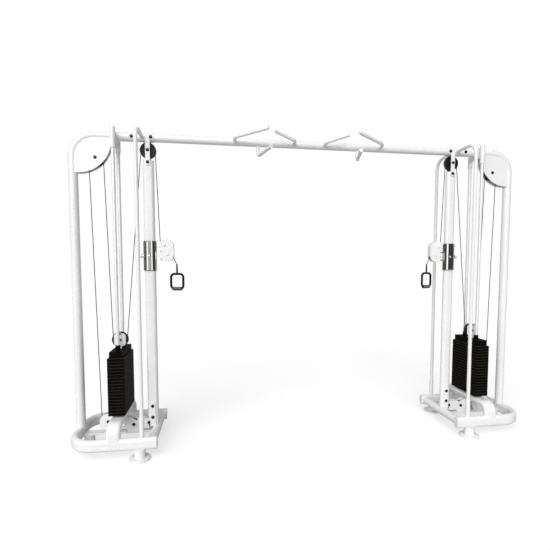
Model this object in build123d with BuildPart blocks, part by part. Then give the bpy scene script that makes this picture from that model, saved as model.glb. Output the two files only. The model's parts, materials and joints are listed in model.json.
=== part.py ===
"""Cable crossover machine: two cable towers joined by an overhead beam with pull-up handles.

Millimetres. +X runs along the beam, -Y is the side the user stands on, +Z is up.
The origin is on the floor, midway between the towers. Every tower feature is written for
the right-hand tower and mirrored in X, so a side of -1 is the left tower and 1 the right one.
"""
from math import asin, atan2, copysign, cos, hypot, radians, sin
import os

from build123d import *

SIDES = {"left": -1, "right": 1}

# Overall frame
beam_z = 2300
tube_od = 64
tube_wall = 3
bend_radius = 160
column_x = 1740
top_tube_end_x = 1172
beam_od = 57.4
beam_splice_x = 1345
beam_bolt_x = (1190, 1325)

# Base: a flat-oval tube loop, open towards the middle of the machine
arm_y = 268.5
arm_z = 112.5
arm_width = 50
arm_height = 88
arm_end_x = 1154
cross_tube_x = 1188
spine_width = 60
spine_bottom = 88
spine_top = 104
foot_post_radius = 38
foot_disc_radius = 75
foot_disc_height = 14
foot_x = 1268
outer_foot_x = 1684

# Upright and the straps that hold it
upright_x = 1214.4
upright_width = 80
upright_depth = 50
upright_bottom = 145
upright_top = 2136
strap_gap = upright_depth / 2 + 0.3
strap_thickness = 6
foot_strap_width = 40
foot_strap_top = 312
foot_bolt_z = (203, 289)
top_strap_width = 33
top_strap_bottom = 2097
top_strap_bolt_z = 2119
stop_spacing = 100
stops_below, stops_above = 9, 3

# Corner gussets and base pulley plates
gusset_gap = 20
gusset_thickness = 6
gusset_radius = 237
gusset_corner_x = 1706
gusset_corner_z = 2266
base_plate_gap = 20.2
base_plate_thickness = 5

# Weight stack
stack_x = 1444
rod_y = 76
rod_radius = 12.5
plate_count = 18
lifted_count = 5
plate_pitch = 23.33
plate_thickness = 22.8
plate_width = 118
plate_depth = 326
stack_bottom = 277
head_width = 94
head_depth = 302
head_height = 44
bush_radius = 17
bush_height = 36
selector_radius = 12.5
pin_radius = 5
arch_span_width = 100
arch_z = 237
arch_bend = 55
crown_bottom = 2199
crown_top = 2345
crown_radius = 18

# Cable and pulleys: a run is the radius of the cable's centreline on a pulley
cable_radius = 3
groove_gap = 0.4
axle_radius = 6
bolt_head_radius = 10.5
bolt_head_height = 7
screw_length = 14
running_gap = 0.05
hole_gap = 0.3
large_rim, large_run, large_width = 58, 50.4, 26
small_rim, small_run, small_width = 34, 30.4, 22
top_pulley = (upright_x, 2207)
corner_pulley = (column_x - bend_radius, beam_z - bend_radius)
stack_pulley = (stack_x, 806)
base_outer_pulley = (1540, 185)
base_idler_pulley = (1357, 153)
base_inner_pulley = (upright_x + small_run, 162)

# Carriage, swivel and handle
carriage_z = 1433
sleeve_width = 98
sleeve_depth = 68
sleeve_height = 217
bore_gap = 0.5
hinge_x = 1139
hinge_pin_radius = 4
lug_z = (1406, 1470)
lug_thickness = 8
lug_half_width = 7
barrel_radius = 8.5
upper_carriage_pulley = (hinge_x - small_run, 1516)
lower_carriage_pulley = (1088, 1447)
housing_gap = 20
housing_gauge = 4
housing_nose, housing_hinge_side = 1040, 1129
housing_bottom, housing_top = 1394, 1556
housing_nose_radius = 44
anchor_bottom, anchor_top = 1350, 1380
cable_ball = (1020, 1366)
ball_radius = 6.5
neck_bottom = 1312
neck_width = 13
neck_gauge = 5
neck_chamfer = 3
swing_z = 1308
eye_radius = 3.2
handle_turn = 18
loop_width = 98
loop_bottom, loop_top = 1184, 1297
loop_bend = 26
band_width = 15
band_depth = 11
grip_radius = 14.5
grip_length = 72

# Guard hoop and pull-up handles
guard_x = 1252
guard_y = 266
guard_od = 27
guard_bend = 90
socket_od = 34
socket_top = 302
pull_bar_od = 26
pull_bar_bend = 40

stack_top = stack_bottom + plate_count * plate_pitch
lifted_bottom = stack_top - lifted_count * plate_pitch
pin_z = lifted_bottom + plate_thickness / 2
head_top = stack_top + head_height
arm_top = arm_z + arm_height / 2
arch_top = arch_z + arm_width / 2


# ---------------------------------------------------------------- shared shapes


def round_tube(points, bend, diameter, wall=0.0):
    """A round tube, or a solid bar when it has no wall, along runs joined by bends."""
    with BuildPart() as tube:
        with BuildLine() as run:
            FilletPolyline(*points, radius=bend)
        with BuildSketch(Plane(origin=run.line @ 0, z_dir=run.line % 0)):
            Circle(diameter / 2)
            if wall:
                Circle(diameter / 2 - wall, mode=Mode.SUBTRACT)
        sweep(path=run.line)
    return tube.part


def straight_tube(start, end, diameter, wall=0.0):
    """A straight round tube, or a solid bar when it has no wall."""
    with BuildPart() as tube:
        axis = Vector(*end) - Vector(*start)
        with BuildSketch(Plane(origin=start, z_dir=axis)):
            Circle(diameter / 2)
            if wall:
                Circle(diameter / 2 - wall, mode=Mode.SUBTRACT)
        extrude(amount=axis.length)
    return tube.part


def flat_tube(points, bend, long_side, short_side, long_dir, wall=0.0):
    """A flat-oval tube whose wide side lies along long_dir at its start."""
    with BuildPart() as tube:
        with BuildLine() as run:
            FilletPolyline(*points, radius=bend)
        with BuildSketch(Plane(origin=run.line @ 0, x_dir=long_dir, z_dir=run.line % 0)):
            SlotOverall(long_side, short_side)
            if wall:
                SlotOverall(long_side - 2 * wall, short_side - 2 * wall, mode=Mode.SUBTRACT)
        sweep(path=run.line)
    return tube.part


def cut(shape, *tools):
    """A shape with others taken out of it."""
    with BuildPart() as rest:
        add(shape)
        for tool in tools:
            add(tool, mode=Mode.SUBTRACT)
    return rest.part


def both_sides(make):
    """The left and right copies of a piece as one group of solids."""
    with BuildPart() as pair:
        for side in SIDES.values():
            add(make(side))
    return pair.part


def plate_pair(outline, side, gap, thickness):
    """Two flat plates of one outline, facing each other across the plane of the cables."""
    with BuildPart() as pair:
        for face in (1, -1):
            extrude(outline(side, Plane.XZ.offset(face * gap)), amount=face * thickness)
    return pair.part


def bolt(x, z, half_grip, head=bolt_head_radius, spacer_from=0.0):
    """A bolt along Y, its head in front, its nut behind, and spacers beside a pulley."""
    with BuildPart() as fastener:
        with BuildSketch(Plane.XZ):
            with Locations((x, z)):
                Circle(axle_radius)
        extrude(amount=half_grip, both=True)
        for face in (1, -1):
            with BuildSketch(Plane.XZ.offset(face * half_grip)):
                with Locations((x, z)):
                    RegularPolygon(head, 6)
            extrude(amount=face * bolt_head_height)
            if spacer_from:
                with BuildSketch(Plane.XZ.offset(face * spacer_from)):
                    with Locations((x, z)):
                        Circle(axle_radius + 3)
                extrude(amount=face * (half_grip - 6 - spacer_from))
    return fastener.part


def screw_pair(x, z, half_grip):
    """Two short screws, front and back, that stop inside the wall of a tube."""
    with BuildPart() as screws:
        for face in (1, -1):
            with BuildSketch(Plane.XZ.offset(face * half_grip)):
                with Locations((x, z)):
                    RegularPolygon(bolt_head_radius, 6)
            extrude(amount=face * bolt_head_height)
            with BuildSketch(Plane.XZ.offset(face * half_grip)):
                with Locations((x, z)):
                    Circle(axle_radius)
            extrude(amount=-face * screw_length)
    return screws.part


def pulley(side, center, rim, run, width):
    """A grooved nylon wheel about a Y axis, with a hub, a thin web and a rim."""
    x, z = side * center[0], center[1]
    bore = axle_radius + running_gap
    groove = cable_radius + groove_gap
    hub, rim_wall, web = 15, 13, 7
    with BuildPart() as wheel:
        with BuildSketch(Plane(origin=(x, 0, z), x_dir=(1, 0, 0), z_dir=(0, 0, 1))):
            with Locations(((bore + rim) / 2, 0)):
                Rectangle(rim - bore, width)
            recess_depth = (width - web) / 2
            for face in (1, -1):
                with Locations(((hub + rim - rim_wall) / 2, face * (width - recess_depth) / 2)):
                    Rectangle(rim - rim_wall - hub, recess_depth, mode=Mode.SUBTRACT)
            with Locations((run, 0)):
                Circle(groove, mode=Mode.SUBTRACT)
            with BuildLine():
                lip = width / 2 - 3
                Polyline((run, groove), (rim + 1, lip), (rim + 1, -lip), (run, -groove), close=True)
            make_face(mode=Mode.SUBTRACT)
        revolve(axis=Axis((x, 0, z), (0, 1, 0)))
    return wheel.part


# ---------------------------------------------------------------- cable route

# The stops run from the handle to the carriage's anchor. A run is negative where the
# cable goes round clockwise, seen from the front of the right-hand tower.
cable_stops = [
    (cable_ball, 0),
    (lower_carriage_pulley, -small_run),
    (upper_carriage_pulley, small_run),
    (top_pulley, -large_run),
    (stack_pulley, large_run),
    (corner_pulley, -large_run),
    (base_outer_pulley, -large_run),
    (base_idler_pulley, -small_run),
    (base_inner_pulley, -small_run),
    ((upright_x, anchor_bottom), 0),
]
BALL, LOWER, UPPER, TOP, STACK, CORNER, OUTER, IDLER, INNER, ANCHOR = range(len(cable_stops))


def tangent(first):
    """The angle of the straight cable from one stop to the next."""
    (x1, z1), run1 = cable_stops[first]
    (x2, z2), run2 = cable_stops[first + 1]
    return atan2(z2 - z1, x2 - x1) - asin((run2 - run1) / hypot(x2 - x1, z2 - z1))


def touch(stop, heading):
    """The point where the cable, at a heading, touches a stop's pulley."""
    (x, z), run = cable_stops[stop]
    return (x + run * sin(heading), z - run * cos(heading))


def straight(first):
    """The two ends of the straight cable from one stop to the next."""
    heading = tangent(first)
    return [touch(first, heading), touch(first + 1, heading)]


def wrap(stop):
    """The start, middle and end of the cable's arc round a stop's pulley."""
    arriving, leaving = tangent(stop - 1), tangent(stop)
    sense = copysign(1, cable_stops[stop][1])
    turn = sense * ((leaving - arriving) * sense % radians(360))
    return [touch(stop, arriving + turn * part) for part in (0, 0.5, 1)]


def cable(side, pieces):
    """A round cable along joined straight runs and arcs, each given by its points."""
    with BuildPart() as rope:
        with BuildLine(Plane.XZ) as route:
            for piece in pieces:
                points = [(side * x, z) for x, z in piece]
                if len(points) == 2:
                    Line(*points)
                else:
                    ThreePointArc(*points)
        with BuildSketch(Plane(origin=route.line @ 0, z_dir=route.line % 0)):
            Circle(cable_radius)
        sweep(path=route.line)
    return rope.part


# ---------------------------------------------------------------- welded frame


def base_loop(side, wall=0.0):
    """The base loop of one tower: two arms joined round the outer end."""
    outer = side * column_x
    inner = side * arm_end_x
    corners = [(inner, -arm_y, arm_z), (outer, -arm_y, arm_z), (outer, arm_y, arm_z), (inner, arm_y, arm_z)]
    return flat_tube(corners, bend_radius, arm_height, arm_width, (0, 0, 1), wall)


def column(side, wall=0.0):
    """The outer column of one tower, bent over at the top into the top tube."""
    x = side * column_x
    corners = [(x, 0, arm_top - 16), (x, 0, beam_z), (side * top_tube_end_x, 0, beam_z)]
    return round_tube(corners, bend_radius, tube_od, wall)


def cross_tube(side, wall=0.0):
    """The round tube that joins the two arms of a base under the upright."""
    x = side * cross_tube_x
    return straight_tube((x, -arm_y, arm_z), (x, arm_y, arm_z), tube_od, wall)


def beam_bolt_holes(side):
    """The drillings for the two bolts that lock the beam in a top tube."""
    with BuildPart() as holes:
        with Locations(*[(side * x, 0, beam_z) for x in beam_bolt_x]):
            Cylinder(axle_radius + hole_gap, 2 * tube_od, rotation=(90, 0, 0))
    return holes.part


def drilled_column(side):
    return cut(column(side, tube_wall), base_loop(side), beam_bolt_holes(side))


def cross_members(side):
    """A base's cross tube, its spine bar and the two sockets of the guard hoop."""
    loop = base_loop(side)
    tube = cut(cross_tube(side, tube_wall), loop).solids().sort_by(SortBy.VOLUME)[-1]
    spine_start = cross_tube_x + tube_od / 2 - 10
    spine_end = column_x - arm_width / 2
    with BuildPart() as spine:
        with Locations((side * (spine_start + spine_end) / 2, 0, (spine_bottom + spine_top) / 2)):
            Box(spine_end - spine_start, spine_width, spine_top - spine_bottom)
        add(cross_tube(side), mode=Mode.SUBTRACT)
    with BuildPart() as members:
        add(tube)
        add(spine.part)
        for y in (-guard_y, guard_y):
            foot = (side * guard_x, y, arm_top - 14)
            head = (side * guard_x, y, socket_top)
            add(cut(straight_tube(foot, head, socket_od, (socket_od - guard_od) / 2 - hole_gap), loop))
    return members.part


def stack_arch(side):
    """The arch that carries a weight stack, standing on the arms of the base."""
    x = side * stack_x
    foot = arm_top - 20
    corners = [(x, -arm_y, foot), (x, -arm_y, arch_z), (x, arm_y, arch_z), (x, arm_y, foot)]
    arch = flat_tube(corners, arch_bend, arch_span_width, arm_width, (1, 0, 0), tube_wall)
    return cut(arch, base_loop(side))


def top_tube(side):
    """The top tube's outline near the upright, as a solid bar."""
    return straight_tube((side * 1150, 0, beam_z), (side * 1500, 0, beam_z), tube_od)


def guard_hoop(side):
    """The front and rear halves of the guard hoop, welded to the top tube."""
    x = side * guard_x
    foot = arm_top + 6
    corners = [(x, -guard_y, foot), (x, -guard_y, beam_z), (x, guard_y, beam_z), (x, guard_y, foot)]
    return cut(round_tube(corners, guard_bend, guard_od, 2.5), top_tube(side))


def guide_rod_pair(side):
    with BuildPart() as rods:
        with Locations(*[(side * stack_x, y, (arch_top + crown_top - 8) / 2) for y in (-rod_y, rod_y)]):
            Cylinder(rod_radius, crown_top - 8 - arch_top)
    return rods.part


def rod_crown(side):
    """The plate over the top tube whose two sockets hold the heads of the guide rods."""
    x = side * stack_x
    web_bottom, web_top = beam_z - 55, crown_top - 12
    with BuildPart() as crown:
        with Locations(*[(x, y, (crown_bottom + crown_top) / 2) for y in (-rod_y, rod_y)]):
            Cylinder(crown_radius, crown_top - crown_bottom)
        chamfer(crown.edges().group_by(Axis.Z)[-1], 2)
        with Locations((x, 0, (web_bottom + web_top) / 2)):
            Box(10, 2 * rod_y, web_top - web_bottom)
        add(top_tube(side), mode=Mode.SUBTRACT)
        add(guide_rod_pair(side), mode=Mode.SUBTRACT)
    return crown.part


# ---------------------------------------------------------------- uprights and brackets


def upright(side):
    """The flat-oval mast that the carriage slides on, with its stop holes and rear slot."""
    x = side * upright_x
    outer_edge = side * (upright_x + upright_width / 2)
    with BuildPart() as mast:
        with BuildSketch(Plane.XY.offset(upright_bottom)):
            with Locations((x, 0)):
                SlotOverall(upright_width, upright_depth)
                SlotOverall(upright_width - 2 * tube_wall, upright_depth - 2 * tube_wall, mode=Mode.SUBTRACT)
        extrude(amount=upright_top - upright_bottom)
        stop_heights = [carriage_z + stop_spacing * step for step in range(-stops_below, stops_above + 1)]
        with Locations(*[(outer_edge, 0, z) for z in stop_heights]):
            Cylinder(6.5, 20, rotation=(0, 90, 0), mode=Mode.SUBTRACT)
        # The carriage's cable anchor runs in the slot
        slot_bottom = anchor_bottom - stops_below * stop_spacing - 15
        slot_top = anchor_top + stops_above * stop_spacing + 15
        with Locations((x, upright_depth / 2, (slot_bottom + slot_top) / 2)):
            Box(13, 12, slot_top - slot_bottom, mode=Mode.SUBTRACT)
        # The base's inner pulley stands half inside the mast
        with Locations((outer_edge, 0, upright_bottom + 27)):
            Box(30, small_width + 4, 60, mode=Mode.SUBTRACT)
        bolts = [(side * base_inner_pulley[0], base_inner_pulley[1]), (x, top_strap_bolt_z)]
        bolts += [(x, z) for z in foot_bolt_z]
        with Locations(*[(bolt_x, 0, bolt_z) for bolt_x, bolt_z in bolts]):
            Cylinder(axle_radius + hole_gap, 80, rotation=(90, 0, 0), mode=Mode.SUBTRACT)
    return mast.part


def foot_strap_outline(side, plane):
    bottom = arm_z + 22
    with BuildSketch(plane) as outline:
        with Locations((side * upright_x, (foot_strap_top + bottom) / 2)):
            Rectangle(foot_strap_width, foot_strap_top - bottom)
        fillet(outline.vertices().group_by(Axis.Y)[-1], 8)
        with Locations(*[(side * upright_x, z) for z in foot_bolt_z]):
            Circle(axle_radius + hole_gap, mode=Mode.SUBTRACT)
    return outline.sketch


def top_strap_outline(side, plane):
    head = beam_z - 12
    with BuildSketch(plane) as outline:
        with Locations((side * upright_x, (top_strap_bottom + head) / 2)):
            Rectangle(top_strap_width, head - top_strap_bottom)
        fillet(outline.vertices().group_by(Axis.Y)[0], 8)
        with Locations(*[(side * upright_x, z) for z in (top_strap_bolt_z, top_pulley[1])]):
            Circle(axle_radius + hole_gap, mode=Mode.SUBTRACT)
    return outline.sketch


def strap_set(side):
    """The straps at an upright's foot and head, the upper pair holding the top pulley."""
    with BuildPart() as straps:
        add(cut(plate_pair(foot_strap_outline, side, strap_gap, strap_thickness), cross_tube(side)))
        add(cut(plate_pair(top_strap_outline, side, strap_gap, strap_thickness), top_tube(side)))
    return straps.part


def gusset_outline(side, plane):
    reach = gusset_radius + 20
    overlap = 16
    with BuildSketch(plane) as outline:
        with Locations((side * gusset_corner_x, gusset_corner_z)):
            Circle(gusset_radius)
        corner = (gusset_corner_x + overlap - reach / 2, gusset_corner_z + overlap - reach / 2)
        with Locations((side * corner[0], corner[1])):
            Rectangle(reach, reach, mode=Mode.INTERSECT)
        with Locations((side * corner_pulley[0], corner_pulley[1])):
            Circle(axle_radius + hole_gap, mode=Mode.SUBTRACT)
    return outline.sketch


def gusset_pair(side):
    """The two quarter-round plates inside the bend, which hold the corner pulley."""
    plates = cut(plate_pair(gusset_outline, side, gusset_gap, gusset_thickness), column(side))
    with BuildPart() as pair:
        add(plates.solids().sort_by(SortBy.VOLUME)[-2:])
    return pair.part


def idler_plate_outline(side, plane):
    foot = [(1426, 150), (1402, spine_top), (1318, spine_top), (1316, 122)]
    corners = [*foot, (1350, 190), (1396, 211), (1440, 211)]
    cover_start, cover_end = 1246, 1330
    with BuildSketch(plane) as outline:
        with BuildLine():
            Polyline(*[(side * x, z) for x, z in corners], close=True)
        make_face()
        with Locations((side * base_idler_pulley[0], base_idler_pulley[1])):
            Circle(small_rim + 4)
        # The cover over the half of the inner pulley that stands out of the mast
        with Locations((side * (cover_start + cover_end) / 2, base_inner_pulley[1] - 5)):
            Rectangle(cover_end - cover_start, 2 * small_rim + 12)
        with Locations(*[(side * x, z) for x, z in (base_idler_pulley, base_inner_pulley)]):
            Circle(axle_radius + hole_gap, mode=Mode.SUBTRACT)
    return outline.sketch


def outer_plate_outline(side, plane):
    corners = [(1563, spine_top), (1560, 185), (1520, 211), (1450, 211), (1462, 160), (1478, spine_top)]
    with BuildSketch(plane) as outline:
        with BuildLine():
            Polyline(*[(side * x, z) for x, z in corners], close=True)
        make_face()
        with Locations((side * base_outer_pulley[0], base_outer_pulley[1])):
            Circle(large_rim + 4)
            Circle(axle_radius + hole_gap, mode=Mode.SUBTRACT)
    return outline.sketch


def base_plates(side):
    """The plates on the spine that hold the base's outer and idler pulleys."""
    with BuildPart() as plates:
        add(plate_pair(idler_plate_outline, side, base_plate_gap, base_plate_thickness))
        add(plate_pair(outer_plate_outline, side, base_plate_gap, base_plate_thickness))
    return plates.part


# ---------------------------------------------------------------- feet, caps, bolts and bars


def foot(x, y):
    """A rubber-edged levelling foot under the base loop."""
    side = copysign(1, x)
    post_top = spine_bottom if y == 0 else arm_z - arm_height / 2 + 12
    with BuildPart() as pad:
        with Locations((x, y, foot_disc_height / 2)):
            Cylinder(foot_disc_radius, foot_disc_height)
        chamfer(pad.edges().group_by(Axis.Z)[-1], 6)
        with Locations((x, y, (post_top + foot_disc_height) / 2)):
            Cylinder(foot_post_radius, post_top - foot_disc_height)
        add(base_loop(side), mode=Mode.SUBTRACT)
    return pad.part


def end_caps(side):
    """The plugs in the inner ends of a base's arms."""
    with BuildPart() as caps:
        for y in (-arm_y, arm_y):
            mouth = Plane(origin=(side * arm_end_x, y, arm_z), x_dir=(0, 0, 1), z_dir=(-side, 0, 0))
            with BuildSketch(mouth):
                SlotOverall(arm_height, arm_width)
            extrude(amount=4)
    return caps.part


def tower_bolts(side):
    """The through bolts and pulley axles that are fixed in one tower."""
    strap_grip = strap_gap + strap_thickness
    gusset_grip = gusset_gap + gusset_thickness
    mast_grip = upright_depth / 2 + 0.4
    base_grip = base_plate_gap + base_plate_thickness
    large_hub, small_hub = large_width / 2 + hole_gap, small_width / 2 + hole_gap
    with BuildPart() as bolts:
        for x in beam_bolt_x:
            add(bolt(side * x, beam_z, tube_od / 2 + 0.2))
        for z in foot_bolt_z:
            add(screw_pair(side * upright_x, z, strap_grip))
        add(bolt(side * upright_x, top_strap_bolt_z, strap_grip))
        add(bolt(side * top_pulley[0], top_pulley[1], strap_grip, spacer_from=large_hub))
        add(bolt(side * corner_pulley[0], corner_pulley[1], gusset_grip, spacer_from=large_hub))
        add(bolt(side * base_outer_pulley[0], base_outer_pulley[1], base_grip, spacer_from=large_hub))
        add(bolt(side * base_idler_pulley[0], base_idler_pulley[1], base_grip, spacer_from=small_hub))
        add(bolt(side * base_inner_pulley[0], base_inner_pulley[1], mast_grip, head=9))
    return bolts.part


def pull_up_handles(side):
    """The three pull-up handles on one half of the beam: wide, narrow and hanging."""
    beam = straight_tube((side * 50, 0, beam_z), (side * 700, 0, beam_z), beam_od)
    routes = [
        [(573, -20, 2293), (585, -80, 2310), (341, -200, 2350)],
        [(123, -20, 2295), (120, -80, 2305), (285, -140, 2350)],
        [(400, 0, 2280), (400, 0, 2200), (332, -266, 2200)],
    ]
    with BuildPart() as handles:
        for route in routes:
            points = [(side * x, y, z) for x, y, z in route]
            add(cut(round_tube(points, pull_bar_bend, pull_bar_od), beam))
    return handles.part


# ---------------------------------------------------------------- weight stack


def stack_block(side, width, depth, bottom, height):
    """A steel block of the stack, bored for the guide rods and the selector rod."""
    x = side * stack_x
    with BuildPart() as block:
        with BuildSketch(Plane.XY.offset(bottom)):
            with Locations((x, 0)):
                RectangleRounded(width, depth, 6)
        extrude(amount=height)
        chamfer(block.edges().group_by(Axis.Z)[0] + block.edges().group_by(Axis.Z)[-1], 1.5)
        with Locations(*[(x, y, bottom + height / 2) for y in (-rod_y, 0, rod_y)]):
            Cylinder(rod_radius + 0.6, height, mode=Mode.SUBTRACT)
    return block.part


def weight_plates(side, first, last):
    """Plates of the stack, counted from the bottom, each with its selector pin hole."""
    x = side * stack_x
    with BuildPart() as plate:
        add(stack_block(side, plate_width, plate_depth, stack_bottom, plate_thickness))
        with Locations((x + side * plate_width / 4, 0, stack_bottom + plate_thickness / 2)):
            Cylinder(pin_radius + 0.4, plate_width / 2, rotation=(0, 90, 0), mode=Mode.SUBTRACT)
    with BuildPart() as plates:
        with Locations(*[(0, 0, index * plate_pitch) for index in range(first, last)]):
            add(plate.part)
    return plates.part


def head_plate(side):
    """The plate at the top of the stack, with the bushes that run on the guide rods."""
    x = side * stack_x
    with BuildPart() as head:
        add(stack_block(side, head_width, head_depth, stack_top, head_height))
        with Locations(*[(x, y, head_top + bush_height / 2) for y in (-rod_y, rod_y)]):
            Cylinder(bush_radius, bush_height)
        with Locations(*[(x, y, (stack_top + head_top + bush_height) / 2) for y in (-rod_y, rod_y)]):
            Cylinder(rod_radius + hole_gap, head_height + bush_height + 2, mode=Mode.SUBTRACT)
    return head.part


def cage_outline(side, plane):
    top = stack_pulley[1] + 55
    with BuildSketch(plane) as outline:
        with Locations((side * stack_x, (head_top + top) / 2)):
            Rectangle(25, top - head_top)
        fillet(outline.vertices().group_by(Axis.Y)[-1], 8)
    return outline.sketch


def cover_outline(side, plane):
    with BuildSketch(plane) as outline:
        with Locations((side * stack_x, stack_pulley[1])):
            RectangleRounded(84, 96, 24)
    return outline.sketch


def lift_stem(side):
    """The drilled selector rod and the cage that joins it to the stack's pulley."""
    x = side * stack_x
    inner = large_width / 2 + 1.5
    rod_bottom = stack_bottom + 12
    yoke = 4.5
    with BuildPart() as stem:
        with Locations((x, 0, (rod_bottom + head_top + 1) / 2)):
            Cylinder(selector_radius, head_top + 1 - rod_bottom)
        pin_heights = [stack_bottom + k * plate_pitch + plate_thickness / 2 for k in range(1, plate_count)]
        with Locations(*[(x, 0, z) for z in pin_heights]):
            Cylinder(pin_radius + 0.4, 4 * selector_radius, rotation=(0, 90, 0), mode=Mode.SUBTRACT)
        with Locations((x, 0, head_top + yoke / 2)):
            Box(25, 2 * inner + 12, yoke)
        add(plate_pair(cover_outline, side, inner, 2))
        add(plate_pair(cage_outline, side, inner + 2, 4))
        add(bolt(x, stack_pulley[1], inner + 6))
        for face in (1, -1):
            with BuildSketch(Plane.XZ.offset(face * (inner + 6))):
                with Locations((x, stack_pulley[1] + 44)):
                    RegularPolygon(7, 6)
            extrude(amount=face * 4)
    return stem.part


def selector_pin(side):
    """The pin that picks how many plates are lifted, with its grip knob."""
    x = side * stack_x
    face = plate_width / 2
    with BuildPart() as pin:
        with Locations((x + side * (face - 8) / 2, 0, pin_z)):
            Cylinder(pin_radius, face + 10, rotation=(0, 90, 0))
        with Locations((x + side * (face + 9), 0, pin_z)):
            Cylinder(11, 16, rotation=(0, 90, 0))
        chamfer(pin.faces().sort_by(Axis.X)[0 if side < 0 else -1].edges(), 2)
    return pin.part


def bumpers(side):
    """The rubber buffers under the stack, round the guide rods."""
    with BuildPart() as pads:
        with Locations(*[(side * stack_x, y, (arch_top + stack_bottom) / 2) for y in (-rod_y, rod_y)]):
            Cylinder(27, stack_bottom - arch_top - 0.4)
        add(guide_rod_pair(side), mode=Mode.SUBTRACT)
    return pads.part


# ---------------------------------------------------------------- carriage, swivel and handle


def carriage_sleeve(side):
    """The sleeve that slides on an upright, with its hinge lugs and its cable anchor."""
    x = side * upright_x
    outer = upright_x + sleeve_width / 2
    with BuildPart() as sleeve:
        with BuildSketch(Plane.XY.offset(carriage_z - sleeve_height / 2)):
            with Locations((x, 0)):
                SlotOverall(sleeve_width, sleeve_depth)
        extrude(amount=sleeve_height)
        chamfer(sleeve.edges().group_by(Axis.Z)[0] + sleeve.edges().group_by(Axis.Z)[-1], 1.5)
        # Boss of the stop pin, on the outer edge
        with Locations((side * (outer + 3), 0, carriage_z)):
            Cylinder(11, 12, rotation=(0, 90, 0))
        # Screw that presses the liner against the upright
        with Locations((x, -sleeve_depth / 2 - 1, carriage_z)):
            Cylinder(8, 6, rotation=(90, 0, 0))
        for z in lug_z:
            with BuildSketch(Plane.XY.offset(z - lug_thickness / 2)):
                with Locations((side * hinge_x, 0)):
                    Circle(lug_half_width)
                with Locations((side * (hinge_x + 16), 0)):
                    Rectangle(32, 2 * lug_half_width)
            extrude(amount=lug_thickness)
        with BuildSketch(Plane.XY.offset(carriage_z - sleeve_height / 2 - 1)):
            with Locations((x, 0)):
                SlotOverall(upright_width + 2 * bore_gap, upright_depth + 2 * bore_gap)
        extrude(amount=sleeve_height + 2, mode=Mode.SUBTRACT)
        with Locations((side * (outer + 2), 0, carriage_z)):
            Cylinder(6, 30, rotation=(0, 90, 0), mode=Mode.SUBTRACT)
        # Hinge pin, riveted into both lugs
        with Locations((side * hinge_x, 0, sum(lug_z) / 2)):
            Cylinder(hinge_pin_radius, lug_z[1] - lug_z[0] + lug_thickness + 4)
        # Cable anchor, through the upright's rear slot to the middle of the tube
        anchor_front, anchor_back = -5, sleeve_depth / 2 - 1
        with Locations((x, (anchor_front + anchor_back) / 2, (anchor_bottom + anchor_top) / 2)):
            Box(10, anchor_back - anchor_front, anchor_top - anchor_bottom)
    return sleeve.part


def pop_pin(side):
    """The sprung pin that locks the carriage at a stop hole."""
    tip = upright_x + upright_width / 2 + 0.6
    knob_start, knob_end = 1274, 1292
    with BuildPart() as pin:
        with Locations((side * (tip + knob_start + 2) / 2, 0, carriage_z)):
            Cylinder(5.5, knob_start + 2 - tip, rotation=(0, 90, 0))
        with Locations((side * (knob_start + knob_end) / 2, 0, carriage_z)):
            Cylinder(14, knob_end - knob_start, rotation=(0, 90, 0))
        chamfer(pin.faces().sort_by(Axis.X)[0 if side < 0 else -1].edges(), 4)
    return pin.part


def housing_outline(side, plane, inset=0.0):
    """The D-shaped side of the swivel housing, with its hinge side straight."""
    width, height = housing_hinge_side - housing_nose, housing_top - housing_bottom
    nose_end, hinge_end = (0, -1) if side > 0 else (-1, 0)
    with BuildSketch(plane) as outline:
        with Locations((side * (housing_nose + width / 2), housing_bottom + height / 2)):
            Rectangle(width - 2 * inset, height - 2 * inset)
        nose = outline.vertices().group_by(Axis.X)[nose_end]
        heel = outline.vertices().group_by(Axis.X)[hinge_end].sort_by(Axis.Y)[0]
        fillet(nose, housing_nose_radius - inset)
        fillet(heel, 30 - inset)
        # The shoulder over the hinge, where the cable comes in
        with Locations((side * (hinge_x - 30.5), 1514.5)):
            Circle(38.5 - inset)
    return outline.sketch


def housing_rim(side):
    """The wall that closes the housing in front of its wheels, open where the cable leaves."""
    shell = 3
    open_top_x, open_bottom_z = 1096, 1436
    rim_width, rim_height = open_top_x - housing_nose, housing_top - open_bottom_z
    with BuildPart() as rim:
        extrude(housing_outline(side, Plane.XZ), amount=housing_gap, both=True)
        extrude(housing_outline(side, Plane.XZ, shell), amount=housing_gap, both=True, mode=Mode.SUBTRACT)
        with Locations((side * (housing_nose + rim_width / 2), 0, open_bottom_z + rim_height / 2)):
            Box(rim_width, 2 * housing_gap, rim_height, mode=Mode.INTERSECT)
    return rim.part


def swivel_housing(side):
    """The swivelling pulley housing, with its hinge barrel and axles."""
    x = side * hinge_x
    barrel_bottom = lug_z[0] + lug_thickness / 2 + 0.5
    barrel_height = lug_z[1] - lug_z[0] - lug_thickness - 1
    barrel_middle = barrel_bottom + barrel_height / 2
    half_grip = housing_gap + housing_gauge
    small_hub = small_width / 2 + hole_gap
    with BuildPart() as housing:
        add(plate_pair(housing_outline, side, housing_gap, housing_gauge))
        add(housing_rim(side))
        fillet(housing.faces().sort_by(Axis.Y)[0].edges() + housing.faces().sort_by(Axis.Y)[-1].edges(), 1.5)
        with Locations((side * (hinge_x - 12.5), 0, barrel_middle)):
            Box(5, 2 * housing_gap, barrel_height)
        with Locations((side * (hinge_x - 6), 0, barrel_middle)):
            Box(12, 14, barrel_height)
        with Locations((x, 0, barrel_middle)):
            Cylinder(barrel_radius, barrel_height)
            Cylinder(hinge_pin_radius + running_gap, barrel_height, mode=Mode.SUBTRACT)
        for center in (upper_carriage_pulley, lower_carriage_pulley):
            add(bolt(side * center[0], center[1], half_grip, head=9, spacer_from=small_hub))
    return housing.part


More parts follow.
